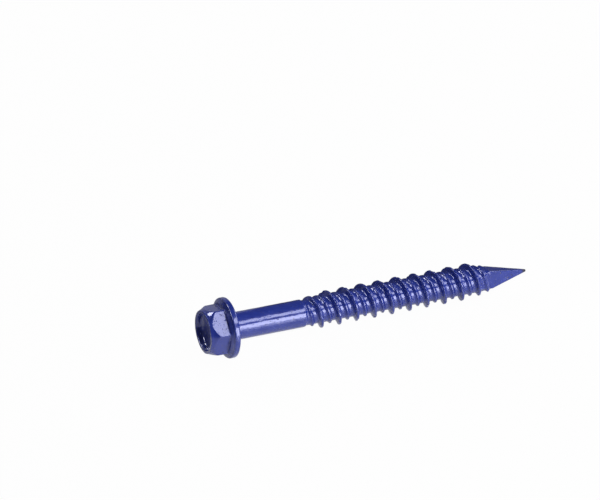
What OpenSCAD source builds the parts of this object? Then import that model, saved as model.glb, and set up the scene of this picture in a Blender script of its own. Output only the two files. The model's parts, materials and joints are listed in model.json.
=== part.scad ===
// Concrete screw: indented hex washer head, plain shank, high and low thread, four-sided point.
// It is made along +Z from the washer's bearing face to the tip, then laid on its side as it comes to rest,
// on the washer's rim and a crest of the high thread, with the tip towards +X.

/* [Head] */
// Width of the hex across its flats
hex_af = 7.94; // [7.2:0.02:8.6]
// How much rounding takes off each corner of the hex
corner_round = 0.02; // [0.02:0.02:0.3]
// Height of the head from the bearing face to the lip
head_h = 4.9; // [4:0.05:6.5]
// How far the lip's outer edge lies inside the flats
lip_inset = 0.15; // [0.05:0.01:0.6]
// Width of the lip round the recess
lip_w = 0.5; // [0.15:0.05:0.8]
// Height of the round collar between the lip and the flats
collar_h = 0.45; // [0.2:0.05:1]
// Angle of the corner chamfer below the collar
chamfer_angle = 60; // [35:1:70]
// Height of the recess's wall above its round floor
recess_wall_h = 0.95; // [0.2:0.05:1.2]
// How much the recess's wall leans in
recess_wall_lean = 0.25; // [0.1:0.05:0.6]
// How far the recess's round floor dips in its middle
recess_dip = 0.65; // [0.3:0.05:1]

/* [Washer] */
// Diameter of the washer
washer_d = 10.75; // [10.2:0.05:14]
// Thickness of the washer at its rim
rim_h = 1.1; // [0.8:0.05:1.6]
// Rounding of the rim's two edges
rim_round = 0.28; // [0.1:0.02:0.38]
// Rise of the washer's sloping top from the rim to the hex
washer_rise = 0.45; // [0.1:0.05:0.8]
// Fillet between the bearing face and the shank
head_fillet = 0.4; // [0.2:0.05:0.8]

/* [Shank] */
// Length under the head, from the bearing face to the tip
length = 57.15; // [50:0.05:100]
// Diameter of the plain shank
shank_d = 4.9; // [4.6:0.05:5.2]
// Length of the bevel at the end of the plain shank
shank_bevel = 0.4; // [0.2:0.05:1]

/* [Thread] */
// Length of the thread, with the point
thread_len = 43.2; // [30:0.1:50]
// Distance from one high crest to the next
pitch = 3.39; // [3:0.01:4.2]
// Diameter over the high thread
high_d = 6.4; // [5.8:0.05:7]
// Diameter over the low thread
low_d = 5.25; // [4.8:0.05:5.6]
// Diameter at the root
root_d = 4.5; // [4.1:0.05:4.6]
// Width of a high ridge at its foot
high_foot_w = 1.05; // [0.8:0.05:1.4]
// Width of a high ridge at its crest
high_crest_w = 0.36; // [0.2:0.02:0.5]
// Width of a low ridge at its foot
low_foot_w = 0.72; // [0.6:0.02:1]
// Width of a low ridge at its crest
low_crest_w = 0.28; // [0.16:0.02:0.4]
// Length over which the high thread rises from the shank
run_in = 3.2; // [2:0.1:6]
// Length over which the low thread rises from the root
low_run_in = 1.5; // [0.8:0.1:3]
// Length over which the high thread dies away towards the point
run_out = 3.4; // [1.5:0.1:5]
// Length over which the low thread dies away towards the point
low_run_out = 0.5; // [0.3:0.1:3]
// Distance from the thread's start to the first high crest on the underside
first_crest = 3.26; // [0:0.01:4.2]

/* [Point] */
// Length of the four-sided point
point_len = 10.52; // [7:0.02:13]
// Width across the flats at the blunt tip
tip_w = 0.3; // [0.16:0.02:0.6]

/* [Hidden] */
$fn = 96;

hex_sides = 6;
point_sides = 4;
full_turn = 360;
// Turn of a hex corner from the underside
hex_turn = 13;
// Steps that one turn of the thread is made in
turn_steps = 20;
// How high the flank and the crest's shoulders stand, as shares of the ridge
flank_share = 0.52;
shoulder_share = 0.94;
// How far the thread's first turn is sunk into the shank
sunk_len = 0.8;
sunk_depth = 0.12;
// Overlap that makes sure of a clean cut
overcut = 1;

washer_r = washer_d / 2;
shank_r = shank_d / 2;
high_r = high_d / 2;
low_r = low_d / 2;
root_r = root_d / 2;
tip_r = tip_w / 2;

corner_r = hex_af / sqrt(3);
rounded_corner_r = corner_r - corner_round;
flat_mid_r = hex_af / 2;
lip_r = flat_mid_r - lip_inset;
recess_r = lip_r - lip_w;
recess_floor_r = recess_r - recess_wall_lean;
recess_depth = recess_wall_h + recess_dip;
recess_ball_r = (pow(recess_floor_r, 2) + pow(recess_dip, 2)) / (2 * recess_dip);

thread_z = length - thread_len;
point_z = length - point_len;
point_side = full_turn / point_sides;
// Where the flats have grown together into four sharp corners, and the thread ends
corner_z = point_z + point_len * (1 - cos(point_side / 2));
crest_z = thread_z + first_crest;
step_z = pitch / turn_steps;
half_step = full_turn / turn_steps / 2;
// Steps lie to both sides of each crest on the underside, so that the screw rests on a flat there
steps_z = crest_z + step_z / 2;
first_step = ceil((thread_z - sunk_len - steps_z) / step_z);
last_step = ceil((corner_z - steps_z) / step_z) - 1;

// Half widths of the ridges, as turns of the screw
high_foot = full_turn * high_foot_w / pitch / 2;
high_crest = full_turn * high_crest_w / pitch / 2;
low_foot = full_turn * low_foot_w / pitch / 2;
low_crest = full_turn * low_crest_w / pitch / 2;
quarter = full_turn / 4;
half = full_turn / 2;

// One half of the thread's section, from the high crest to the low crest.
// Each entry is an angle and the share of the high and of the low ridge that stands there.
half_section = [
    [0, 1, 0],
    [high_crest, shoulder_share, 0],
    [(high_crest + high_foot) / 2, flank_share, 0],
    [high_foot, 0, 0],
    [(high_foot + quarter) / 2, 0, 0],
    [quarter, 0, 0],
    [quarter + (quarter - low_foot) / 3, 0, 0],
    [half - low_foot - (quarter - low_foot) / 3, 0, 0],
    [half - low_foot, 0, 0],
    [half - low_crest, 0, shoulder_share],
    [half, 0, 1]
];
half_count = len(half_section);
section = concat(
    half_section,
    [for (i = [half_count - 2 : -1 : 1]) let (s = half_section[i]) [full_turn - s[0], s[1], s[2]]]
);
sides = len(section);

stations = concat(
    [for (i = [first_step : last_step]) steps_z + i * step_z],
    [corner_z, length]
);

function share(x) = max(0, min(1, x));
function high_rise(z) =
    let (full = shank_r + (high_r - shank_r) * share((z - thread_z) / run_in))
    z < thread_z ? shank_r - sunk_depth - root_r : (full - root_r) * share((corner_z - z) / run_out);
function low_rise(z) =
    (low_r - root_r) * share((z - thread_z) / low_run_in) * share((corner_z - z) / low_run_out);
function turn_at(z) = level_turn + full_turn * (min(z, corner_z) - crest_z) / pitch;

// Distance of the point's flats from the axis, and their outline at an angle from a corner
function flat_r(z) = tip_r + (root_r - tip_r) * (length - z) / point_len;
function outline_r(z, a) = flat_r(z) / cos(a - point_side * floor(a / point_side) - point_side / 2);
function core_r(z, s) =
    let (a = s[0] + turn_at(z) - turn_at(corner_z))
    z > point_z ? min(root_r, outline_r(z, a)) : root_r;
function section_r(z, s) = core_r(z, s) + s[1] * high_rise(z) + s[2] * low_rise(z);

// Lean at which a point of the thread, at z and r, meets the floor that the washer's rim lies on
function lean_at(z, r) =
    let (drop = washer_r - rim_round - r, run = z + rim_round)
    atan2(drop, run) + asin(rim_round / norm([drop, run]));
first_turn = ceil((thread_z - crest_z) / pitch);
last_turn = floor((point_z - crest_z) / pitch);
crests = [for (i = [first_turn : last_turn]) crest_z + i * pitch];
lean = min([for (z = crests) lean_at(z, (root_r + high_rise(z)) * cos(half_step))]);
// Turn that levels the flat on which the thread rests
level_turn = asin(step_z * tan(lean) / (2 * high_r * sin(half_step)));
rest_z = (washer_r - rim_round) * cos(lean) + rim_round - rim_round * sin(lean);
rest_x = (lip_r * sin(lean) + head_h * cos(lean) - length * cos(lean)) / 2;

module at_rest() {
    translate([rest_x, 0, rest_z]) rotate([0, quarter + lean, 0]) children();
}

// Hex with rounded corners, chamfered up to a round collar, and a round recess within its lip
module hex() {
    chamfer_h = (corner_r - flat_mid_r) * tan(chamfer_angle);
    difference() {
        intersection() {
            rotate(hex_turn) translate([0, 0, -head_h]) cylinder(r = corner_r, h = head_h, $fn = hex_sides);
            rotate_extrude() intersection() {
                translate([0, -head_h]) square([rounded_corner_r, head_h]);
                polygon([
                    [0, 0],
                    [corner_r, 0],
                    [corner_r, chamfer_h + collar_h - head_h],
                    [flat_mid_r, collar_h - head_h],
                    [lip_r, -head_h],
                    [0, -head_h]
                ]);
            }
        }
        translate([0, 0, -head_h]) recess();
    }
}

// Leaning wall down to a ball-shaped floor
module recess() {
    wall_slope = recess_wall_lean / recess_wall_h;
    intersection() {
        translate([0, 0, -overcut]) cylinder(
            r1 = recess_r + wall_slope * overcut,
            r2 = recess_r - wall_slope * recess_depth,
            h = overcut + recess_depth
        );
        translate([0, 0, recess_depth - recess_ball_r]) sphere(recess_ball_r);
    }
}

// Washer with a rounded rim and a sloping top, and the fillet under it
module washer() {
    round_x = washer_r - rim_round;
    top_z = rim_h + washer_rise;
    rotate_extrude() union() {
        polygon([
            [0, 0],
            [round_x, 0],
            [washer_r, -rim_round],
            [washer_r, rim_round - rim_h],
            [round_x, -rim_h],
            [corner_r, -top_z],
            [0, -top_z]
        ]);
        translate([round_x, -rim_round]) circle(rim_round);
        translate([round_x, rim_round - rim_h]) circle(rim_round);
        difference() {
            square([shank_r + head_fillet, head_fillet]);
            translate([shank_r + head_fillet, head_fillet]) circle(head_fillet);
        }
    }
}

module shank() {
    plain_len = thread_z - shank_bevel;
    cylinder(r = shank_r, h = plain_len);
    translate([0, 0, plain_len]) cylinder(r1 = shank_r, r2 = root_r - sunk_depth, h = shank_bevel);
}

// High and low thread on one core, running out into the point
module thread_and_point() {
    rings = len(stations);
    function corner(ring, side) = ring * sides + side % sides;
    points = [
        for (z = stations, s = section)
            let (r = section_r(z, s), a = s[0] + turn_at(z))
            [r * cos(a), r * sin(a), z]
    ];
    root_end = len(points);
    tip_end = root_end + 1;
    ends = [[0, 0, stations[0]], [0, 0, length]];
    skin = [
        for (i = [0 : rings - 2], j = [0 : sides - 1])
            each [
                [corner(i, j), corner(i + 1, j), corner(i, j + 1)],
                [corner(i, j + 1), corner(i + 1, j), corner(i + 1, j + 1)]
            ]
    ];
    root_cap = [for (j = [0 : sides - 1]) [root_end, corner(0, j), corner(0, j + 1)]];
    tip_cap = [for (j = [0 : sides - 1]) [tip_end, corner(rings - 1, j + 1), corner(rings - 1, j)]];
    polyhedron(points = concat(points, ends), faces = concat(skin, root_cap, tip_cap));
}

module concrete_screw() {
    color("darkslateblue") at_rest() {
        hex();
        washer();
        shank();
        thread_and_point();
    }
}

concrete_screw();
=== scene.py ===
"""Concrete screw with an indented hex washer head, a high and low thread and a four-sided point.

The screw is one piece. Its head and shank are made ring by ring, its thread and point by a Geometry Nodes
tree that winds one strip of surface round the core, and a second tree lays the uneven baked coating over
both.
"""

import json
import math

import bmesh
import bpy
import numpy as np
from mathutils import Matrix, Vector


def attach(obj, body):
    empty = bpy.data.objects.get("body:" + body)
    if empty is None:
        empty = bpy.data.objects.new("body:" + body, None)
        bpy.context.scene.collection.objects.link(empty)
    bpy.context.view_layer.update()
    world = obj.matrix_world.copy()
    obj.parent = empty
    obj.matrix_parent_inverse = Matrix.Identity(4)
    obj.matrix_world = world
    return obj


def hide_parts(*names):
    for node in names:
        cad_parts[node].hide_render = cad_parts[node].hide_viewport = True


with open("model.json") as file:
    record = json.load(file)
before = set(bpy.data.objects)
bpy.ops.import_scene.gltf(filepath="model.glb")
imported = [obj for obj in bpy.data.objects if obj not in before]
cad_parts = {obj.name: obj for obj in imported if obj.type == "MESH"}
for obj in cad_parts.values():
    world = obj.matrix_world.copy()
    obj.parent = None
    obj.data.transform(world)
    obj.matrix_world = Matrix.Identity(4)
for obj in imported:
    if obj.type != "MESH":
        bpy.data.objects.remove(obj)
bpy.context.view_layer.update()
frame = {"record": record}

bl_info = {
    "name": "Concrete screw",
    "version": (1, 0, 0),
    "blender": (4, 5, 0),
    "location": "3D View > Sidebar > Screw",
    "description": "Makes a blue-coated concrete screw on a pale studio floor",
    "category": "Object",
}

# Facts from the frame
NODE = "concrete_screw"
BODY = "root"
MOUNTS = {mount["name"]: mount for mount in frame["record"]["mounts"]}

MM = 0.001
HEX_SIDES = 6
HEX_SECTOR = 2 * math.pi / HEX_SIDES
POINT_SIDES = 4
# Points round each ring, a multiple of the hex's and the point's sides
ROUND = 96
# Points across one turn of the thread's strip
ACROSS = 56
# Points closer than this become one: within the thread's strip, and where the strip meets the shank
STRIP_WELD = 0.002 * MM
JOIN_WELD = 0.004 * MM


# Properties


def linear(hex_colour):
    """Linear red, green and blue of an sRGB hex value."""
    shares = [int(hex_colour[i:i + 2], 16) / 255 for i in (1, 3, 5)]
    return tuple(s / 12.92 if s <= 0.04045 else ((s + 0.055) / 1.055) ** 2.4 for s in shares)


def length_property(name, mm, description):
    """A size that a user would change, given here in millimetres."""
    return bpy.props.FloatProperty(
        name=name, description=description, default=mm * MM, min=0.0, precision=5, unit="LENGTH"
    )


def angle_property(name, degrees, description):
    """An angle that a user would change, given here in degrees."""
    return bpy.props.FloatProperty(
        name=name, description=description, default=math.radians(degrees), subtype="ANGLE"
    )


def colour_property(name, hex_colour, description):
    """A colour that a user would change, given here as an sRGB hex value."""
    return bpy.props.FloatVectorProperty(
        name=name, description=description, default=linear(hex_colour), min=0.0, max=1.0,
        size=3, subtype="COLOR"
    )


class ScrewHeadSizes(bpy.types.PropertyGroup):
    """Sizes of the head, the washer and the shank."""

    hex_af: length_property("Across flats", 7.94, "Width of the hex across its flats")
    corner_round: length_property("Corner rounding", 0.02, "How much rounding takes off a corner of the hex")
    head_h: length_property("Head height", 4.9, "Height from the bearing face to the lip")
    lip_inset: length_property("Lip inset", 0.15, "How far the lip's outer edge lies inside the flats")
    lip_w: length_property("Lip width", 0.5, "Width of the lip round the recess")
    lip_round: length_property("Lip rounding", 0.14, "Rounding of the lip's edges")
    collar_h: length_property("Collar height", 0.45, "Height of the round collar between lip and flats")
    chamfer_angle: angle_property("Chamfer angle", 60, "Angle of the corner chamfer below the collar")
    edge_round: length_property("Edge rounding", 0.08, "Softening of the edges between chamfer and flats")
    recess_wall_h: length_property("Recess wall", 0.95, "Height of the recess's wall above its round floor")
    recess_wall_lean: length_property("Recess wall lean", 0.25, "How much the recess's wall leans in")
    recess_dip: length_property("Recess dip", 0.65, "How far the recess's round floor dips in its middle")
    washer_d: length_property("Washer diameter", 10.75, "Diameter of the washer")
    rim_h: length_property("Rim thickness", 1.1, "Thickness of the washer at its rim")
    rim_round: length_property("Rim rounding", 0.28, "Rounding of the rim's two edges")
    washer_rise: length_property("Washer rise", 0.45, "Rise of the washer's top from the rim to the hex")
    foot_fillet: length_property("Hex fillet", 0.1, "Height of the fillet between the hex and the washer")
    head_fillet: length_property("Bearing fillet", 0.4, "Fillet between the bearing face and the shank")
    shank_d: length_property("Shank diameter", 4.9, "Diameter of the plain shank")
    shank_bevel: length_property("Shank bevel", 0.4, "Length of the bevel at the end of the plain shank")
    hex_turn: angle_property("Hex turn", 13, "Turn of a hex corner from the underside")


class ScrewThreadSizes(bpy.types.PropertyGroup):
    """Sizes of the thread and the point."""

    length: length_property("Length", 57.15, "Length from the bearing face to the tip")
    thread_len: length_property("Thread length", 43.2, "Length of the thread with the point")
    pitch: length_property("Pitch", 3.39, "Distance from one high crest to the next")
    high_d: length_property("High diameter", 6.4, "Diameter over the high thread")
    low_d: length_property("Low diameter", 5.25, "Diameter over the low thread")
    root_d: length_property("Root diameter", 4.5, "Diameter at the root")
    high_foot_w: length_property("High foot", 1.05, "Width of a high ridge at its foot")
    high_crest_w: length_property("High crest", 0.36, "Width of a high ridge at its crest")
    low_foot_w: length_property("Low foot", 0.72, "Width of a low ridge at its foot")
    low_crest_w: length_property("Low crest", 0.28, "Width of a low ridge at its crest")
    run_in: length_property("High run-in", 3.2, "Length over which the high thread rises from the shank")
    low_run_in: length_property("Low run-in", 1.5, "Length over which the low thread rises from the root")
    run_out: length_property("High run-out", 3.4, "Length over which the high thread dies away")
    low_run_out: length_property("Low run-out", 0.5, "Length over which the low thread dies away")
    first_crest: length_property("First crest", 3.26, "From the thread's start to its first crest below")
    point_len: length_property("Point length", 10.52, "Length of the four-sided point")
    tip_w: length_property("Tip width", 0.3, "Width across the flats at the blunt tip")
    tip_round: length_property("Tip rounding", 0.05, "Length over which the blunt tip rounds off")
    foot_reach: length_property("Foot reach", 0.13, "How far a ridge's gentle foot reaches past its flank")
    foot_angle: angle_property("Foot angle", 38, "Angle of the gentle foot of a ridge")
    nick_depth: length_property("Crest nicks", 0.2, "How far the rolled crest falls short in places")
    mark_depth: length_property("Rolling marks", 0.01, "Depth of the marks that rolling leaves on the root")


class ScrewFinish(bpy.types.PropertyGroup):
    """Colours and unevenness of the coating, and the painted shade at the tip."""

    coat: colour_property("Coating", "#27399c", "Colour of the baked coating")
    coat_thin: colour_property("Thin coating", "#3042a8", "Colour of the coating where it is thin")
    coat_pit: colour_property("Pits", "#161f5c", "Colour of the small pits in the coating")
    # Painted shade: this colour darkens the end of the sharp tip, where shade falls on it
    painted_tip_shade: colour_property("Tip", "#26263c", "Colour of the sharp tip, off which the coating runs")
    lump_depth: length_property("Lumps", 0.015, "Height of the coating's lumps")
    peel_depth: length_property("Orange peel", 0.008, "Height of the coating's fine orange peel")


class ScrewStudio(bpy.types.PropertyGroup):
    """Floor, grey flags that paint dark reflections, and camera."""

    floor: colour_property("Floor", "#f6f5f6", "Colour of the studio floor")
    # Painted dark reflection: the grey of the flags that only the screw's reflections show
    dark_reflection: colour_property("Felt", "#50505c", "Colour of the flags' felt")
    # Painted pale reflection: a paler band on the flags behind the head, which the recess mirrors
    pale_reflection: colour_property("Pale felt", "#a0a0aa", "Colour of the felt's pale band behind the head")
    lens: bpy.props.FloatProperty(
        name="Lens", description="Focal length", default=270.0, min=1.0, unit="CAMERA"
    )
    distance: length_property("Distance", 781.0, "From the camera to the point that it aims at")
    azimuth: angle_property("Azimuth", -23.356, "Turn of the camera round the screw")
    elevation: angle_property("Elevation", 32.626, "Height of the camera over the floor")
    aim: bpy.props.FloatVectorProperty(
        name="Aim",
        description="Point in the middle of the image",
        default=(-0.0118697, 0.0017675, 0.0166392),
        size=3,
        subtype="XYZ",
        unit="LENGTH",
    )


# Nodes and meshes


def add_node(tree, kind, inputs=None, **settings):
    """A node of that kind with its settings, whose inputs are set to values or linked to other nodes."""
    node = tree.nodes.new(kind)
    for name, value in settings.items():
        setattr(node, name, value)
    for key, value in (inputs or {}).items():
        if isinstance(value, bpy.types.NodeSocket):
            tree.links.new(value, node.inputs[key])
        else:
            node.inputs[key].default_value = value
    return node


def new_material(name):
    """An empty material and its node tree."""
    material = bpy.data.materials.new(name)
    material.use_nodes = True
    material.node_tree.nodes.clear()
    return material, material.node_tree


def new_tree(name, floats, whole=()):
    """An empty Geometry Nodes tree: a mesh, named sizes and whole numbers come in, and a mesh goes out."""
    tree = bpy.data.node_groups.new(name, "GeometryNodeTree")
    tree.interface.new_socket("Geometry", in_out="INPUT", socket_type="NodeSocketGeometry")
    for label in floats:
        tree.interface.new_socket(label, in_out="INPUT", socket_type="NodeSocketFloat")
    for label in whole:
        tree.interface.new_socket(label, in_out="INPUT", socket_type="NodeSocketInt")
    tree.interface.new_socket("Coating", in_out="INPUT", socket_type="NodeSocketMaterial")
    tree.interface.new_socket("Geometry", in_out="OUTPUT", socket_type="NodeSocketGeometry")
    return tree


def end_tree(tree, given, geometry):
    """Ends a tree with real geometry in the coating's material."""
    whole = add_node(tree, "GeometryNodeRealizeInstances", {0: geometry})
    coated = add_node(tree, "GeometryNodeSetMaterial", {
        "Geometry": whole.outputs[0], "Material": given["Coating"],
    })
    add_node(tree, "NodeGroupOutput", {0: coated.outputs[0]})


def run_tree(obj, tree, values):
    """Adds a Geometry Nodes modifier whose named inputs are set by the sockets' identifiers."""
    modifier = obj.modifiers.new(tree.name, "NODES")
    modifier.node_group = tree
    for item in tree.interface.items_tree:
        if item.item_type == "SOCKET" and item.in_out == "INPUT" and item.name in values:
            modifier[item.identifier] = values[item.name]


def evaluated_mesh(obj, name):
    """The plain mesh that an object's modifiers make, after which they are removed."""
    depsgraph = bpy.context.evaluated_depsgraph_get()
    mesh = bpy.data.meshes.new_from_object(obj.evaluated_get(depsgraph))
    mesh.name = name
    obj.modifiers.clear()
    return mesh


def screw_place():
    """The turn and place of the screw's own axis, from the mounts: +Z to the tip, +X to the floor."""
    axis = Vector(MOUNTS["thread"]["axis"]).normalized()
    on_axis = Vector(MOUNTS["thread"]["pos_m"])
    on_face = Vector(MOUNTS["bearing_face"]["pos_m"])
    start = on_axis - axis * (on_axis - on_face).dot(axis)
    side = Vector((0.0, 1.0, 0.0))
    down = side.cross(axis)
    return Matrix((
        (down.x, side.x, axis.x, start.x),
        (down.y, side.y, axis.y, start.y),
        (down.z, side.z, axis.z, start.z),
        (0.0, 0.0, 0.0, 1.0),
    ))


# Head and shank

# Power that draws a ring's points towards the hex's corners
CORNER_CROWDING = 1.8
# Number of rings over each stretch of the outline
FLOOR_RINGS = 14
COLLAR_RINGS = 10
CHAMFER_RINGS = 17
FLAT_RINGS = 13
FILLET_RINGS = 10
SLOPE_RINGS = 6
ARC_RINGS = 8
FACE_RINGS = 6
# Spacing of the rings along the plain shank
SHANK_STEP = 0.25 * MM
# Rings on the recess's wall, as shares of its height
WALL_SHARES = (0.3, 0.6, 0.85)
# Rings on the lip's inner and outer rounding, as shares of it across and down
INNER_LIP = ((0.15, 0.25), (0.5, 0.05), (1.0, 0.0))
OUTER_LIP = ((1.0, 0.0), (0.5, 0.04))
# Where the collar begins below the lip, as a share of the lip's rounding
COLLAR_START = 0.15
# How far the hex's fillet spreads past its corners, as a share of its height
FILLET_SPREAD = 0.4
# The share of the washer's slope that has rings of its own, and the angle at which the rim's rounding begins
SLOPE_SHARE = 0.9
RIM_START = -math.pi / 2 + 0.25


def smooth_min(a, b, k):
    """The smaller of two radii, blended where they differ by less than k."""
    h = np.maximum(k - np.abs(a - b), 0.0) / k
    return np.minimum(a, b) - h * h * k / 4


def steps_to(start, end, count):
    """Evenly spaced values from start to end, without start."""
    return np.linspace(start, end, count + 1)[1:]


def arc_points(centre_r, centre_z, radius, start, end):
    """Radii and heights along an arc, between two angles from the direction away from the axis."""
    angles = np.linspace(start, end, ARC_RINGS)
    return [(centre_r + radius * math.cos(a), centre_z + radius * math.sin(a)) for a in angles]


def hex_radius(size, angle):
    """Radius of the hex, with round corners, at angles from a corner."""
    half = HEX_SECTOR / 2
    off = np.abs((angle + half) % HEX_SECTOR - half)
    flat = size.hex_af / 2
    arc = size.corner_round / (1 / math.cos(half) - 1)
    centre = (flat - arc) / math.cos(half)
    tangent = half - math.atan2((flat - arc) * math.tan(half), flat)
    straight = flat / np.cos(half - off)
    round_part = centre * np.cos(off) + np.sqrt(np.maximum(arc ** 2 - (centre * np.sin(off)) ** 2, 0.0))
    return np.where(off < tangent, round_part, straight)


def corner_radius(size):
    """Radius of the hex at its corners, before rounding."""
    return size.hex_af / 2 / math.cos(HEX_SECTOR / 2)


def recess_floor(size):
    """Height of the deepest place in the recess."""
    return -size.head_h + (size.recess_wall_h + size.recess_dip)


def slope_start(size):
    """Radius and height at which the hex's fillet meets the washer's sloping top."""
    corner = corner_radius(size)
    slope = size.washer_rise / (size.washer_d / 2 - size.rim_round - corner)
    radius = corner + size.foot_fillet * FILLET_SPREAD
    return radius, -(size.rim_h + size.washer_rise) + (radius - corner) * slope


# Each ring below is a radius, a height and how much of the crowding its points have


def recess_rings(size):
    """Floor and wall of the recess, and the lip."""
    top = -size.head_h
    lip = size.lip_round
    lip_r = size.hex_af / 2 - size.lip_inset
    recess_r = lip_r - size.lip_w
    floor_r = recess_r - size.recess_wall_lean
    ball = (floor_r ** 2 + size.recess_dip ** 2) / (2 * size.recess_dip)
    rings = []
    for share in steps_to(0, 1, FLOOR_RINGS):
        r = floor_r * share
        rings.append((r, recess_floor(size) - ball + math.sqrt(ball ** 2 - r ** 2), 1.0))
    for share in WALL_SHARES:
        rings.append((floor_r + size.recess_wall_lean * share, top + size.recess_wall_h * (1 - share), 1.0))
    for across, down in INNER_LIP:
        rings.append((recess_r + lip * across, top + lip * down, 1.0))
    for across, down in OUTER_LIP:
        rings.append((lip_r - lip * across, top + lip * down, 1.0))
    return rings


def hex_rings(size, outline):
    """Collar, chamfer and flats inside the hex's outline, and the fillet down to the washer's slope."""
    top = -size.head_h
    flat = size.hex_af / 2
    lip_r = flat - size.lip_inset
    collar_z = top + size.collar_h
    chamfer_end = collar_z + (corner_radius(size) - flat) * math.tan(size.chamfer_angle)
    foot_z = -(size.rim_h + size.washer_rise) - size.foot_fillet
    heights = np.concatenate([
        np.linspace(top + size.lip_round * COLLAR_START, collar_z, COLLAR_RINGS),
        steps_to(collar_z, chamfer_end, CHAMFER_RINGS),
        steps_to(chamfer_end, foot_z, FLAT_RINGS),
    ])
    rings = []
    for z in heights:
        collar = lip_r + size.lip_inset * (z - top) / size.collar_h
        cone = flat + (z - collar_z) / math.tan(size.chamfer_angle)
        turned = np.full(ROUND, collar if z < collar_z else cone)
        rings.append((smooth_min(turned, outline, size.edge_round), z, 1.0))
    slope_r, slope_z = slope_start(size)
    for share in steps_to(0, 1, FILLET_RINGS):
        bend = share * math.pi / 2
        r = outline + (slope_r - outline) * (1 - math.cos(bend))
        # Half of the crowding is gone at the fillet's end
        rings.append((r, foot_z + (slope_z - foot_z) * math.sin(bend), 1 - share / 2))
    return rings


def washer_rings(size):
    """The washer's sloping top, rim and bearing face, and the fillet to the shank."""
    round_r = size.washer_d / 2 - size.rim_round
    fillet_r = size.shank_d / 2 + size.head_fillet
    slope_r, slope_z = slope_start(size)
    profile = []
    for share in steps_to(0, SLOPE_SHARE, SLOPE_RINGS):
        profile.append((slope_r + (round_r - slope_r) * share, slope_z + (-size.rim_h - slope_z) * share))
    profile += arc_points(round_r, size.rim_round - size.rim_h, size.rim_round, RIM_START, 0)
    profile += arc_points(round_r, -size.rim_round, size.rim_round, 0, math.pi / 2)
    for share in steps_to(0, 1, FACE_RINGS + 1)[:-1]:
        profile.append((round_r + (fillet_r - round_r) * share, 0.0))
    profile += arc_points(fillet_r, size.head_fillet, size.head_fillet, -math.pi / 2, -math.pi)
    # The other half of the crowding goes on the way to the shank
    return [(r, z, 0.5 * (1 - i / len(profile))) for i, (r, z) in enumerate(profile)]


def shank_rings(size, end_z):
    """The plain shank, in steps short enough for the coating's lumps."""
    steps = round((end_z - size.head_fillet) / SHANK_STEP)
    return [(size.shank_d / 2, z, 0.0) for z in steps_to(size.head_fillet, end_z, steps)]


def head_rings(size, end_z):
    """Radii, heights and angles of all rings from the recess's middle to the end of the shank."""
    half = HEX_SECTOR / 2
    even = np.arange(ROUND) * 2 * math.pi / ROUND
    local = (even + half) % HEX_SECTOR - half
    pulled = np.sign(local) * half * (np.abs(local) / half) ** CORNER_CROWDING
    crowded = even - local + pulled
    rings = recess_rings(size)
    rings += hex_rings(size, hex_radius(size, crowded))
    rings += washer_rings(size)
    rings += shank_rings(size, end_z)
    return [
        (np.broadcast_to(radius, ROUND), np.broadcast_to(z, ROUND), even + (crowded - even) * crowding)
        for radius, z, crowding in rings
    ]


def head_mesh(size, end_z, last_turn):
    """Head and shank as one open mesh, whose last ring meets the thread's first."""
    rings = head_rings(size, end_z)
    points = [(0.0, 0.0, recess_floor(size))]
    steps = len(rings)
    for index, (radius, height, angle) in enumerate(rings):
        # The hex has its own turn, and the last ring has the thread's
        share = max(0.0, (index - steps / 2) / (steps / 2 - 1))
        turn = size.hex_turn + (last_turn - size.hex_turn) * share
        a = angle + turn
        points += list(zip(radius * np.cos(a), radius * np.sin(a), height))
    faces = []
    for j in range(ROUND):
        faces.append((0, 1 + (j + 1) % ROUND, 1 + j))
    for i in range(steps - 1):
        here = 1 + i * ROUND
        there = here + ROUND
        for j in range(ROUND):
            k = (j + 1) % ROUND
            faces.append((here + j, here + k, there + k, there + j))
    mesh = bpy.data.meshes.new("head_and_shank")
    mesh.from_pydata(points, [], faces)
    return mesh


# Thread and point

THREAD_SIZES = (
    "Turns", "Middle turn", "Pitch", "First crest",
    "Start", "Thread start", "Point start", "Corner start", "Length",
    "Shank radius", "Root radius", "High radius", "Low radius",
    "High foot", "High crest", "Low foot", "Low crest",
    "High run-in", "Low run-in", "High run-out", "Low run-out",
    "Foot reach", "High foot run", "Low foot run",
    "Point turn", "Tip radius", "Tip rounding", "Crest nicks", "Rolling marks",
)
# Softness of a ridge's corners, as shares of its height: on its flank, at the root and at the crest
FLANK_SOFT = 0.06
ROOT_SOFT = 0.08
CREST_SOFT = 0.35
# Softness of the edge along which the point's flats cut the core
POINT_SOFT = 0.06 * MM
# Size of the patches in which the crest falls short, and of those in which the rolling marks are deep
NICK_PATCH = 1.1 * MM
MARK_PATCH = 1.1 * MM
# Rolling marks across one turn of the strip, and how many radians they waver
MARKS_ACROSS = 8
MARKS_WAVER = 14.0


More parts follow.
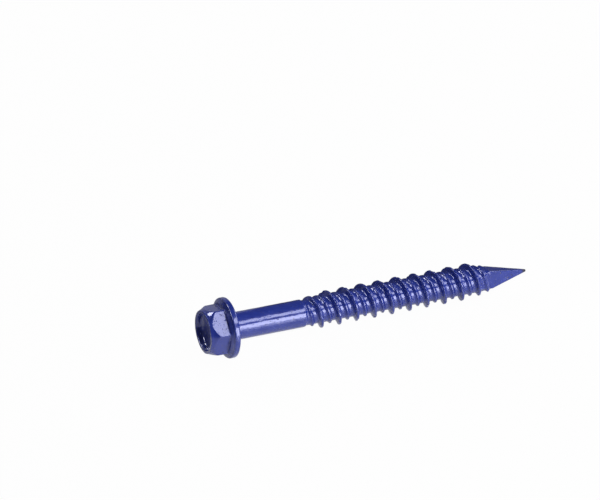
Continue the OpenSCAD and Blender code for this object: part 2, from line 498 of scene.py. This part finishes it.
def ridge_shares(tree, given, across):
    """The share of its height that each ridge has at a place across the strip.

    The high ridge runs along the strip's middle and the low ridge along both its edges.
    """
    off = add_node(tree, "ShaderNodeMath", {0: across}, operation="ABSOLUTE").outputs[0]
    left = add_node(tree, "ShaderNodeMath", {0: 0.5, 1: off}, operation="SUBTRACT").outputs[0]
    shares = {}
    for label, turns_off in (("High", off), ("Low", left)):
        distance = add_node(tree, "ShaderNodeMath", {
            0: turns_off, 1: given["Pitch"],
        }, operation="MULTIPLY").outputs[0]
        half_crest = add_node(tree, "ShaderNodeMath", {
            0: given[label + " crest"], 1: 0.5,
        }, operation="MULTIPLY").outputs[0]
        half_foot = add_node(tree, "ShaderNodeMath", {
            0: given[label + " foot"], 1: 0.5,
        }, operation="MULTIPLY").outputs[0]
        flank = add_node(tree, "ShaderNodeMapRange", {
            "Value": distance, "From Min": half_crest, "From Max": half_foot, "To Min": 1.0, "To Max": 0.0,
        }, clamp=False).outputs[0]
        foot_end = add_node(tree, "ShaderNodeMath", {
            0: half_foot, 1: given["Foot reach"],
        }, operation="ADD").outputs[0]
        foot_top = add_node(tree, "ShaderNodeMath", {
            0: foot_end, 1: given[label + " foot run"],
        }, operation="SUBTRACT").outputs[0]
        foot = add_node(tree, "ShaderNodeMapRange", {
            "Value": distance, "From Min": foot_top, "From Max": foot_end, "To Min": 1.0, "To Max": 0.0,
        }, clamp=False).outputs[0]
        side = add_node(tree, "ShaderNodeMath", {
            0: flank, 1: foot, 2: FLANK_SOFT,
        }, operation="SMOOTH_MAX").outputs[0]
        above = add_node(tree, "ShaderNodeMath", {
            0: side, 1: 0.0, 2: ROOT_SOFT,
        }, operation="SMOOTH_MAX").outputs[0]
        shares[label] = add_node(tree, "ShaderNodeMath", {
            0: above, 1: 1.0, 2: CREST_SOFT,
        }, operation="SMOOTH_MIN").outputs[0]
    return shares


def core_radii(tree, given, z, angle):
    """Radius of the round core, and of the core that the point's flats cut."""
    core = add_node(tree, "ShaderNodeMapRange", {
        "Value": z, "From Min": given["Start"], "From Max": given["Thread start"],
        "To Min": given["Shank radius"], "To Max": given["Root radius"],
    }, interpolation_type="SMOOTHSTEP").outputs[0]
    side = 2 * math.pi / POINT_SIDES
    from_corner = add_node(tree, "ShaderNodeMath", {
        0: angle, 1: given["Point turn"],
    }, operation="SUBTRACT").outputs[0]
    on_side = add_node(tree, "ShaderNodeMath", {
        0: from_corner, 1: side,
    }, operation="FLOORED_MODULO").outputs[0]
    from_middle = add_node(tree, "ShaderNodeMath", {0: on_side, 1: side / 2}, operation="SUBTRACT").outputs[0]
    lean = add_node(tree, "ShaderNodeMath", {0: from_middle}, operation="COSINE").outputs[0]
    flat = add_node(tree, "ShaderNodeMapRange", {
        "Value": z, "From Min": given["Point start"], "From Max": given["Length"],
        "To Min": given["Root radius"], "To Max": given["Tip radius"],
    }, clamp=False).outputs[0]
    outline = add_node(tree, "ShaderNodeMath", {0: flat, 1: lean}, operation="DIVIDE").outputs[0]
    cut_core = add_node(tree, "ShaderNodeMath", {
        0: core, 1: outline, 2: POINT_SOFT,
    }, operation="SMOOTH_MIN").outputs[0]
    return core, cut_core


def ridge_rises(tree, given, z, core):
    """Height of each ridge along the screw, and the share of it that the run-out leaves."""
    rises = {}
    fades = {}
    for label, low_end in (("High", "Shank radius"), ("Low", "Root radius")):
        run_end = add_node(tree, "ShaderNodeMath", {
            0: given["Thread start"], 1: given[label + " run-in"],
        }, operation="ADD").outputs[0]
        top = add_node(tree, "ShaderNodeMapRange", {
            "Value": z, "From Min": given["Thread start"], "From Max": run_end,
            "To Min": given[low_end], "To Max": given[label + " radius"],
        }).outputs[0]
        rise = add_node(tree, "ShaderNodeMath", {0: top, 1: core}, operation="SUBTRACT").outputs[0]
        over = add_node(tree, "ShaderNodeMath", {0: rise, 1: 0.0}, operation="MAXIMUM").outputs[0]
        fade_start = add_node(tree, "ShaderNodeMath", {
            0: given["Corner start"], 1: given[label + " run-out"],
        }, operation="SUBTRACT").outputs[0]
        fades[label] = add_node(tree, "ShaderNodeMapRange", {
            "Value": z, "From Min": fade_start, "From Max": given["Corner start"],
            "To Min": 1.0, "To Max": 0.0,
        }).outputs[0]
        rises[label] = add_node(tree, "ShaderNodeMath", {
            0: over, 1: fades[label],
        }, operation="MULTIPLY").outputs[0]
    return rises, fades


def rolled_unevenness(tree, given, across, on_core):
    """Nicks where the rolled crest isn't quite filled, and fine wavering marks that run along the root."""
    wander = add_node(tree, "ShaderNodeTexNoise", {
        "Vector": on_core, "Scale": 1 / NICK_PATCH, "Detail": 2.0, "Roughness": 0.6,
    }).outputs[0]
    short_by = add_node(tree, "ShaderNodeMath", {
        0: given["Crest nicks"], 1: -1.0,
    }, operation="MULTIPLY").outputs[0]
    nick = add_node(tree, "ShaderNodeMapRange", {
        "Value": wander, "From Min": 0.48, "From Max": 0.72, "To Min": 0.0, "To Max": short_by,
    }, interpolation_type="SMOOTHSTEP").outputs[0]
    wave = add_node(tree, "ShaderNodeMath", {
        0: across, 1: 2 * math.pi * MARKS_ACROSS,
    }, operation="MULTIPLY").outputs[0]
    waver = add_node(tree, "ShaderNodeMath", {
        0: wander, 1: MARKS_WAVER, 2: wave,
    }, operation="MULTIPLY_ADD").outputs[0]
    wave_top = add_node(tree, "ShaderNodeMath", {0: waver}, operation="COSINE").outputs[0]
    patch = add_node(tree, "ShaderNodeTexNoise", {
        "Vector": on_core, "Scale": 1 / MARK_PATCH, "Detail": 1.0,
    }).outputs[0]
    patch_depth = add_node(tree, "ShaderNodeMapRange", {
        "Value": patch, "From Min": 0.35, "From Max": 0.65, "To Min": 0.0, "To Max": given["Rolling marks"],
    }).outputs[0]
    marks = add_node(tree, "ShaderNodeMath", {0: wave_top, 1: patch_depth}, operation="MULTIPLY").outputs[0]
    return nick, marks


def tip_dome(tree, given, z):
    """The share of the radius that is left where the blunt tip rounds off and closes on the axis."""
    round_start = add_node(tree, "ShaderNodeMath", {
        0: given["Length"], 1: given["Tip rounding"],
    }, operation="SUBTRACT").outputs[0]
    gone = add_node(tree, "ShaderNodeMapRange", {
        "Value": z, "From Min": round_start, "From Max": given["Length"], "To Min": 0.0, "To Max": 1.0,
    }).outputs[0]
    squared = add_node(tree, "ShaderNodeMath", {0: gone, 1: gone}, operation="MULTIPLY").outputs[0]
    kept = add_node(tree, "ShaderNodeMath", {0: 1.0, 1: squared}, operation="SUBTRACT").outputs[0]
    return add_node(tree, "ShaderNodeMath", {0: kept}, operation="SQRT").outputs[0]


def thread_tree():
    """A strip one pitch wide, wound round the core: its radius follows the ridges, then the point's flats."""
    tree = new_tree("high_and_low_thread", THREAD_SIZES, ("Steps along", "Steps across"))
    given = add_node(tree, "NodeGroupInput").outputs
    strip = add_node(tree, "GeometryNodeMeshGrid", {
        "Size X": given["Turns"], "Size Y": 1.0,
        "Vertices X": given["Steps along"], "Vertices Y": given["Steps across"],
    })
    on_strip = add_node(tree, "GeometryNodeInputPosition").outputs[0]
    place = add_node(tree, "ShaderNodeSeparateXYZ", {0: on_strip}).outputs
    across = place[1]

    # Turn and height of each point of the strip once it is wound
    turn = add_node(tree, "ShaderNodeMath", {
        0: place[0], 1: given["Middle turn"],
    }, operation="ADD").outputs[0]
    angle = add_node(tree, "ShaderNodeMath", {0: turn, 1: 2 * math.pi}, operation="MULTIPLY").outputs[0]
    wound = add_node(tree, "ShaderNodeMath", {0: turn, 1: across}, operation="ADD").outputs[0]
    free_z = add_node(tree, "ShaderNodeMath", {
        0: wound, 1: given["Pitch"], 2: given["First crest"],
    }, operation="MULTIPLY_ADD").outputs[0]
    z = add_node(tree, "ShaderNodeClamp", {
        "Value": free_z, "Min": given["Start"], "Max": given["Length"],
    }).outputs[0]
    cos = add_node(tree, "ShaderNodeMath", {0: angle}, operation="COSINE").outputs[0]
    sin = add_node(tree, "ShaderNodeMath", {0: angle}, operation="SINE").outputs[0]

    # A point on the core, which the random patterns read
    core_x = add_node(tree, "ShaderNodeMath", {
        0: cos, 1: given["Root radius"],
    }, operation="MULTIPLY").outputs[0]
    core_y = add_node(tree, "ShaderNodeMath", {
        0: sin, 1: given["Root radius"],
    }, operation="MULTIPLY").outputs[0]
    on_core = add_node(tree, "ShaderNodeCombineXYZ", {0: core_x, 1: core_y, 2: z}).outputs[0]

    # Sum of the core, the two ridges, the nicks in the crest and the marks
    shares = ridge_shares(tree, given, across)
    core, cut_core = core_radii(tree, given, z, angle)
    rises, fades = ridge_rises(tree, given, z, core)
    nick, marks = rolled_unevenness(tree, given, across, on_core)
    marks_fade = add_node(tree, "ShaderNodeMapRange", {
        "Value": z, "From Min": given["Start"], "From Max": given["Thread start"],
        "To Min": 0.0, "To Max": fades["High"],
    }).outputs[0]
    high = add_node(tree, "ShaderNodeMath", {
        0: rises["High"], 1: shares["High"],
    }, operation="MULTIPLY").outputs[0]
    low = add_node(tree, "ShaderNodeMath", {
        0: rises["Low"], 1: shares["Low"],
    }, operation="MULTIPLY").outputs[0]
    both = add_node(tree, "ShaderNodeMath", {0: high, 1: low}, operation="ADD").outputs[0]
    standing = add_node(tree, "ShaderNodeMath", {0: both, 1: cut_core}, operation="ADD").outputs[0]
    uneven = add_node(tree, "ShaderNodeMath", {
        0: nick, 1: shares["High"], 2: marks,
    }, operation="MULTIPLY_ADD").outputs[0]
    radius = add_node(tree, "ShaderNodeMath", {
        0: uneven, 1: marks_fade, 2: standing,
    }, operation="MULTIPLY_ADD").outputs[0]
    closed = add_node(tree, "ShaderNodeMath", {
        0: radius, 1: tip_dome(tree, given, z),
    }, operation="MULTIPLY").outputs[0]

    x = add_node(tree, "ShaderNodeMath", {0: closed, 1: cos}, operation="MULTIPLY").outputs[0]
    y = add_node(tree, "ShaderNodeMath", {0: closed, 1: sin}, operation="MULTIPLY").outputs[0]
    where = add_node(tree, "ShaderNodeCombineXYZ", {0: x, 1: y, 2: z}).outputs[0]
    shaped = add_node(tree, "GeometryNodeSetPosition", {
        "Geometry": strip.outputs["Mesh"], "Position": where,
    })
    welded = add_node(tree, "GeometryNodeMergeByDistance", {
        "Geometry": shaped.outputs[0], "Distance": STRIP_WELD,
    })
    end_tree(tree, given, welded.outputs[0])
    return tree


def thread_mesh(head, size, coating):
    """Thread and point as one mesh, open only at its first ring, and the turn of that ring."""
    thread_z = size.length - size.thread_len
    point_z = size.length - size.point_len
    corner_z = point_z + size.point_len * (1 - math.cos(math.pi / POINT_SIDES))
    crest_z = thread_z + size.first_crest
    start = thread_z - head.shank_bevel
    # The strip's rows fall on the point's corners
    point_turn = (corner_z - crest_z) / size.pitch
    rows_before = math.ceil((point_turn - (start - crest_z) / size.pitch + 0.5) * ROUND)
    rows_after = math.ceil(((size.length - crest_z) / size.pitch + 0.5 - point_turn) * ROUND)
    values = {
        "Turns": (rows_before + rows_after) / ROUND,
        "Middle turn": point_turn + (rows_after - rows_before) / ROUND / 2,
        "Steps along": rows_before + rows_after + 1,
        "Steps across": ACROSS + 1,
        "Pitch": size.pitch,
        "First crest": crest_z,
        "Start": start,
        "Thread start": thread_z,
        "Point start": point_z,
        "Corner start": corner_z,
        "Length": size.length,
        "Shank radius": head.shank_d / 2,
        "Root radius": size.root_d / 2,
        "High radius": size.high_d / 2,
        "Low radius": size.low_d / 2,
        "High foot": size.high_foot_w,
        "High crest": size.high_crest_w,
        "Low foot": size.low_foot_w,
        "Low crest": size.low_crest_w,
        "High run-in": size.run_in,
        "Low run-in": size.low_run_in,
        "High run-out": size.run_out,
        "Low run-out": size.low_run_out,
        "Point turn": point_turn * 2 * math.pi,
        "Tip radius": size.tip_w / 2,
        "Tip rounding": size.tip_round,
        "Foot reach": size.foot_reach,
        "High foot run": (size.high_d - size.root_d) / 2 / math.tan(size.foot_angle),
        "Low foot run": (size.low_d - size.root_d) / 2 / math.tan(size.foot_angle),
        "Crest nicks": size.nick_depth,
        "Rolling marks": size.mark_depth,
        "Coating": coating,
    }
    holder = bpy.data.objects.new("thread", bpy.data.meshes.new("thread"))
    bpy.context.scene.collection.objects.link(holder)
    run_tree(holder, thread_tree(), values)
    mesh = evaluated_mesh(holder, "thread_and_point")
    bpy.data.objects.remove(holder)
    return mesh, (point_turn % 1.0) * 2 * math.pi


# Coating

# Real sizes of the patterns: lumps, thick and thin places, and orange peel
LUMP_SIZE = 1.2 * MM
COVER_SIZE = 2.2 * MM
PEEL_SIZE = 0.5 * MM
# Pits are drawn coarser than most real ones, so that they show
PIT_SIZE = 0.3 * MM
# Depth of a pit and height of a wrinkle, in heights of the orange peel
PIT_DEPTH = 4.0
WRINKLE_HEIGHT = 8.0
# Distances from the tip at which the painted shade on the tip begins and at which it is full
TIP_SHADE_FADE = 1.2 * MM
TIP_SHADE_FULL = 0.3 * MM


def coating_tree():
    """Lumps of baked coating, set off along the surface's own direction by a fixed random pattern."""
    tree = new_tree("uneven_coating", ("Lumps",))
    given = add_node(tree, "NodeGroupInput").outputs
    place = add_node(tree, "GeometryNodeInputPosition").outputs[0]
    pattern = add_node(tree, "ShaderNodeTexNoise", {
        "Vector": place, "Scale": 1 / LUMP_SIZE, "Detail": 2.0, "Roughness": 0.55,
    }).outputs[0]
    height = add_node(tree, "ShaderNodeMapRange", {
        "Value": pattern, "From Min": 0.5, "From Max": 0.75, "To Min": 0.0, "To Max": given["Lumps"],
    }, clamp=False).outputs[0]
    outward = add_node(tree, "GeometryNodeInputNormal").outputs[0]
    lift = add_node(tree, "ShaderNodeVectorMath", {
        0: outward, "Scale": height,
    }, operation="SCALE").outputs[0]
    moved = add_node(tree, "GeometryNodeSetPosition", {"Geometry": given["Geometry"], "Offset": lift})
    end_tree(tree, given, moved.outputs[0])
    return tree


def baked_coating(finish, tip_x):
    """Baked semi-gloss coating on carbon steel, dipped and spun.

    It gives the eye a deep blue with soft broken highlights, fine orange peel, wrinkles and small pits, and a
    painted shade that darkens its sharp tip.
    """
    material, tree = new_material("baked_coating_on_carbon_steel")
    place = add_node(tree, "ShaderNodeTexCoord").outputs["Object"]
    # Thick and thin coating
    cover = add_node(tree, "ShaderNodeTexNoise", {
        "Vector": place, "Scale": 1 / COVER_SIZE, "Detail": 3.0, "Roughness": 0.6,
    }).outputs[0]
    cover_share = add_node(tree, "ShaderNodeMapRange", {
        "Value": cover, "From Min": 0.35, "From Max": 0.7,
    }).outputs[0]
    blue = add_node(tree, "ShaderNodeMix", {
        "Factor": cover_share, 6: (*finish.coat, 1.0), 7: (*finish.coat_thin, 1.0),
    }, data_type="RGBA").outputs[2]
    # Pits
    grit = add_node(tree, "ShaderNodeTexNoise", {
        "Vector": place, "Scale": 1 / PIT_SIZE, "Detail": 1.0,
    }).outputs[0]
    pit = add_node(tree, "ShaderNodeMapRange", {
        "Value": grit, "From Min": 0.68, "From Max": 0.76,
    }, interpolation_type="SMOOTHSTEP").outputs[0]
    pitted = add_node(tree, "ShaderNodeMix", {
        "Factor": pit, 6: blue, 7: (*finish.coat_pit, 1.0),
    }, data_type="RGBA").outputs[2]
    # Painted shade darkens the last millimetre of the sharp tip
    along = add_node(tree, "ShaderNodeSeparateXYZ", {0: place}).outputs[0]
    tip_shade = add_node(tree, "ShaderNodeMapRange", {
        "Value": along, "From Min": tip_x - TIP_SHADE_FADE, "From Max": tip_x - TIP_SHADE_FULL,
    }, interpolation_type="SMOOTHSTEP").outputs[0]
    colour = add_node(tree, "ShaderNodeMix", {
        "Factor": tip_shade, 6: pitted, 7: (*finish.painted_tip_shade, 1.0),
    }, data_type="RGBA").outputs[2]
    # Orange peel
    peel = add_node(tree, "ShaderNodeTexNoise", {
        "Vector": place, "Scale": 1 / PEEL_SIZE, "Detail": 2.0, "Roughness": 0.5,
    }).outputs[0]
    # Patches in which the coating has run and set in wrinkles
    wrinkled = add_node(tree, "ShaderNodeMapRange", {
        "Value": cover, "From Min": 0.5, "From Max": 0.64, "To Min": 1.0, "To Max": WRINKLE_HEIGHT,
    }, interpolation_type="SMOOTHSTEP").outputs[0]
    level = add_node(tree, "ShaderNodeMath", {0: peel, 1: 0.5}, operation="SUBTRACT").outputs[0]
    swollen = add_node(tree, "ShaderNodeMath", {0: level, 1: wrinkled}, operation="MULTIPLY").outputs[0]
    sunk = add_node(tree, "ShaderNodeMath", {
        0: pit, 1: -PIT_DEPTH, 2: swollen,
    }, operation="MULTIPLY_ADD").outputs[0]
    bump = add_node(tree, "ShaderNodeBump", {
        "Height": sunk, "Strength": 1.0, "Distance": finish.peel_depth,
    }).outputs[0]
    rough = add_node(tree, "ShaderNodeMapRange", {
        "Value": cover, "From Min": 0.3, "From Max": 0.7, "To Min": 0.18, "To Max": 0.28,
    }).outputs[0]
    shader = add_node(tree, "ShaderNodeBsdfPrincipled", {
        "Base Color": colour, "Metallic": 0.12, "Roughness": rough, "Normal": bump, "IOR": 1.5,
        "Coat Weight": 1.0, "Coat Roughness": 0.08, "Coat IOR": 1.5, "Coat Normal": bump,
    })
    add_node(tree, "ShaderNodeOutputMaterial", {"Surface": shader.outputs[0]})
    return material


class SCREW_OT_make_screw(bpy.types.Operator):
    """Makes the screw: head and shank, thread and point, and the coating over them"""

    bl_idname = "screw.make_screw"
    bl_label = "Make the screw"

    def execute(self, context):
        scene = context.scene
        head = scene.screw_head
        thread = scene.screw_thread
        tip = screw_place() @ Vector((0.0, 0.0, thread.length))
        coating = baked_coating(scene.screw_finish, tip.x)
        threaded, turn = thread_mesh(head, thread, coating)
        start = thread.length - thread.thread_len - head.shank_bevel
        headed = head_mesh(head, start, turn)
        work = bmesh.new()
        work.from_mesh(headed)
        work.from_mesh(threaded)
        bmesh.ops.remove_doubles(work, verts=work.verts, dist=JOIN_WELD)
        bmesh.ops.recalc_face_normals(work, faces=work.faces)
        if any(not edge.is_manifold for edge in work.edges):
            raise RuntimeError("The screw's surface isn't closed")
        bmesh.ops.transform(work, matrix=screw_place(), verts=work.verts)
        for face in work.faces:
            face.smooth = True
        blank = bpy.data.meshes.new("screw")
        work.to_mesh(blank)
        work.free()
        screw = bpy.data.objects.new("screw", blank)
        scene.collection.objects.link(screw)
        run_tree(screw, coating_tree(), {"Lumps": scene.screw_finish.lump_depth, "Coating": coating})
        screw.data = evaluated_mesh(screw, "screw_coated")
        for mesh in (headed, threaded, blank):
            bpy.data.meshes.remove(mesh)
        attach(screw, BODY)
        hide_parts(NODE)
        return {"FINISHED"}


# Stage

WHITE = (1.0, 1.0, 1.0, 1.0)
# How far the floor reaches to each side, in metres, and how many faces it has along a side
FLOOR_REACH = 3.0
FLOOR_FACES = 8
# The share of plain white that the camera sees on the floor, and the share that reflections see
CAMERA_WHITE = 0.975
MIRROR_WHITE = 0.2
WORLD_STRENGTH = 0.05
# From the screw to each lamp, in metres
LAMP_DISTANCE = 0.6
# How ragged the edge of the painted pale reflection band is, and the size of its uneven patches
BAND_RAGGEDNESS = 2 * MM
BAND_PATCH_SIZE = 1.5 * MM
# Middle of the flags' painted pale reflection band along the screw, where it is still whole to each side, and
# where it ends
PALE_MIDDLE = -25 * MM
PALE_WHOLE = 9 * MM
PALE_END = 12 * MM
# Corners of the two flags, behind the screw and beyond its head, in metres
FLAG_BACK = ((-0.08, 0.007, 0.0), (0.08, 0.007, 0.0), (0.08, 0.05, 0.06), (-0.08, 0.05, 0.06))
FLAG_HEAD = ((-0.06, -0.06, 0.0), (-0.06, 0.06, 0.0), (-0.066, 0.06, 0.012), (-0.066, -0.06, 0.012))
CLIP_START = 0.01


def studio_floor(colour):
    """White laminate, pressed and semi-gloss.

    It gives the eye a near white with a soft shadow and a soft mirror of the lamps.
    """
    material, tree = new_material("semi_gloss_white_laminate")
    laminate = add_node(tree, "ShaderNodeBsdfPrincipled", {
        "Base Color": (*colour, 1.0), "Roughness": 0.25, "IOR": 1.5,
    })
    white = add_node(tree, "ShaderNodeEmission", {"Color": WHITE, "Strength": 1.0})
    path = add_node(tree, "ShaderNodeLightPath").outputs
    mirrored = add_node(tree, "ShaderNodeMath", {
        0: path["Is Glossy Ray"], 1: path["Is Transmission Ray"],
    }, operation="MAXIMUM").outputs[0]
    # Reflections keep more of the shadow that the object throws on the floor
    faint = add_node(tree, "ShaderNodeMath", {0: mirrored, 1: MIRROR_WHITE}, operation="MULTIPLY").outputs[0]
    share = add_node(tree, "ShaderNodeMath", {
        0: path["Is Camera Ray"], 1: CAMERA_WHITE, 2: faint,
    }, operation="MULTIPLY_ADD").outputs[0]
    mixed = add_node(tree, "ShaderNodeMixShader", {0: share, 1: laminate.outputs[0], 2: white.outputs[0]})
    add_node(tree, "ShaderNodeOutputMaterial", {"Surface": mixed.outputs[0]})
    return material


def lay_floor(scene, colour):
    """A wide level floor under the screw."""
    work = bmesh.new()
    bmesh.ops.create_grid(work, x_segments=FLOOR_FACES, y_segments=FLOOR_FACES, size=FLOOR_REACH)
    mesh = bpy.data.meshes.new("floor")
    work.to_mesh(mesh)
    work.free()
    mesh.materials.append(studio_floor(colour))
    floor = bpy.data.objects.new("floor", mesh)
    scene.collection.objects.link(floor)


def softbox(name, direction, width, height, radiance, colour=True, gloss=True):
    """A flat soft lamp that faces the screw from that direction, as bright as radiance says.

    It lights the screw's colour, or shows in its gloss, or both.
    """
    lamp = bpy.data.lights.new(name, "AREA")
    lamp.shape = "RECTANGLE"
    lamp.size = width
    lamp.size_y = height
    lamp.energy = radiance * math.pi * width * height
    obj = bpy.data.objects.new(name, lamp)
    away = Vector(direction).normalized()
    obj.location = away * LAMP_DISTANCE
    obj.rotation_euler = away.to_track_quat("Z", "Y").to_euler()
    obj.visible_diffuse = colour
    obj.visible_glossy = gloss
    bpy.context.scene.collection.objects.link(obj)


def reflection_sheet_paint(studio):
    """Matt grey for the flags, a painted dark reflection, with a ragged paler band behind the head that is a
    painted pale reflection.
    """
    material, tree = new_material("grey_painted_reflection")
    place = add_node(tree, "ShaderNodeTexCoord").outputs["Object"]
    edge_noise = add_node(tree, "ShaderNodeTexNoise", {"Vector": place, "Scale": 1 / BAND_PATCH_SIZE}).outputs[0]
    along = add_node(tree, "ShaderNodeSeparateXYZ", {0: place}).outputs[0]
    ragged = add_node(tree, "ShaderNodeMath", {
        0: edge_noise, 1: BAND_RAGGEDNESS, 2: along,
    }, operation="MULTIPLY_ADD").outputs[0]
    aside = add_node(tree, "ShaderNodeMath", {0: ragged, 1: PALE_MIDDLE}, operation="SUBTRACT").outputs[0]
    apart = add_node(tree, "ShaderNodeMath", {0: aside}, operation="ABSOLUTE").outputs[0]
    pale_share = add_node(tree, "ShaderNodeMapRange", {
        "Value": apart, "From Min": PALE_END, "From Max": PALE_WHOLE,
    }, interpolation_type="SMOOTHSTEP").outputs[0]
    colour = add_node(tree, "ShaderNodeMix", {
        "Factor": pale_share, 6: (*studio.dark_reflection, 1.0), 7: (*studio.pale_reflection, 1.0),
    }, data_type="RGBA").outputs[2]
    matt = add_node(tree, "ShaderNodeBsdfDiffuse", {"Color": colour})
    add_node(tree, "ShaderNodeOutputMaterial", {"Surface": matt.outputs[0]})
    return material


def flag(name, corners, dark_reflection):
    """A grey flag that only the screw's reflections show, a painted dark reflection, so that its edges stand
    out from the pale floor.
    """
    mesh = bpy.data.meshes.new(name)
    mesh.from_pydata(corners, [], [(0, 1, 2, 3)])
    mesh.materials.append(dark_reflection)
    obj = bpy.data.objects.new(name, mesh)
    bpy.context.scene.collection.objects.link(obj)
    obj.visible_camera = False
    obj.visible_diffuse = False
    obj.visible_shadow = False


def fill_world(scene):
    """Faint even light from all round."""
    world = bpy.data.worlds.new("studio")
    world.use_nodes = True
    tree = world.node_tree
    tree.nodes.clear()
    air = add_node(tree, "ShaderNodeBackground", {"Color": WHITE, "Strength": WORLD_STRENGTH})
    add_node(tree, "ShaderNodeOutputWorld", {"Surface": air.outputs[0]})
    scene.world = world


def set_camera(scene, studio):
    """The camera, at its distance from the point that it aims at."""
    lens = bpy.data.cameras.new("camera")
    lens.lens = studio.lens
    lens.sensor_fit = "HORIZONTAL"
    lens.clip_start = CLIP_START
    camera = bpy.data.objects.new("camera", lens)
    away = Vector((
        math.sin(studio.azimuth) * math.cos(studio.elevation),
        -math.cos(studio.azimuth) * math.cos(studio.elevation),
        math.sin(studio.elevation),
    ))
    camera.location = Vector(studio.aim) + away * studio.distance
    camera.rotation_euler = away.to_track_quat("Z", "Y").to_euler()
    scene.collection.objects.link(camera)
    scene.camera = camera


class SCREW_OT_make_stage(bpy.types.Operator):
    """Makes the floor, the soft studio light and the camera"""

    bl_idname = "screw.make_stage"
    bl_label = "Make the stage"

    def execute(self, context):
        scene = context.scene
        studio = scene.screw_studio
        lay_floor(scene, studio.floor)
        # The head's and the end's lamps are highlights alone, and the back's fills the shade
        softbox("softbox_front", (0.36, -0.548, 0.755), 0.34, 0.19, 5.0)
        softbox("softbox_low", (0.36, -0.909, 0.21), 0.3, 0.277, 7.0)
        softbox("softbox_head", (-0.41, 0.474, 0.78), 0.16, 0.14, 11.0, colour=False)
        softbox("softbox_end", (-0.74, 0.02, 0.67), 0.3, 0.12, 10.0, colour=False)
        softbox("softbox_tip", (0.78, 0.0, 0.62), 0.3, 0.3, 4.2)
        softbox("softbox_back", (-0.25, 0.85, 0.45), 0.3, 0.3, 4.5, gloss=False)
        dark_reflection = reflection_sheet_paint(studio)
        flag("flag_back", FLAG_BACK, dark_reflection)
        flag("flag_head", FLAG_HEAD, dark_reflection)
        fill_world(scene)
        set_camera(scene, studio)
        scene.view_settings.view_transform = "Standard"
        return {"FINISHED"}


class SCREW_PT_panel(bpy.types.Panel):
    """Sizes, colours and buttons of the screw"""

    bl_idname = "SCREW_PT_panel"
    bl_label = "Concrete screw"
    bl_space_type = "VIEW_3D"
    bl_region_type = "UI"
    bl_category = "Screw"

    def draw(self, context):
        for title, group in PANEL_GROUPS:
            box = self.layout.box()
            box.label(text=title)
            settings = getattr(context.scene, group)
            for name in settings.bl_rna.properties.keys():
                if name not in ("rna_type", "name"):
                    box.prop(settings, name)
        for operator in (SCREW_OT_make_screw, SCREW_OT_make_stage):
            self.layout.operator(operator.bl_idname)


PANEL_GROUPS = (
    ("Head and shank", "screw_head"),
    ("Thread and point", "screw_thread"),
    ("Coating", "screw_finish"),
    ("Studio", "screw_studio"),
)
GROUP_CLASSES = (ScrewHeadSizes, ScrewThreadSizes, ScrewFinish, ScrewStudio)
OTHER_CLASSES = (SCREW_OT_make_screw, SCREW_OT_make_stage, SCREW_PT_panel)


def register():
    """Adds the classes, and the properties to the scene."""
    for cls in GROUP_CLASSES + OTHER_CLASSES:
        bpy.utils.register_class(cls)
    for (title, group), cls in zip(PANEL_GROUPS, GROUP_CLASSES):
        setattr(bpy.types.Scene, group, bpy.props.PointerProperty(name=title, type=cls))


def unregister():
    """Takes the properties and the classes away again."""
    for title, group in PANEL_GROUPS:
        delattr(bpy.types.Scene, group)
    for cls in reversed(GROUP_CLASSES + OTHER_CLASSES):
        bpy.utils.unregister_class(cls)


def main():
    """Makes the screw and the stage."""
    register()
    bpy.ops.screw.make_screw()
    bpy.ops.screw.make_stage()


if __name__ == "__main__":
    main()
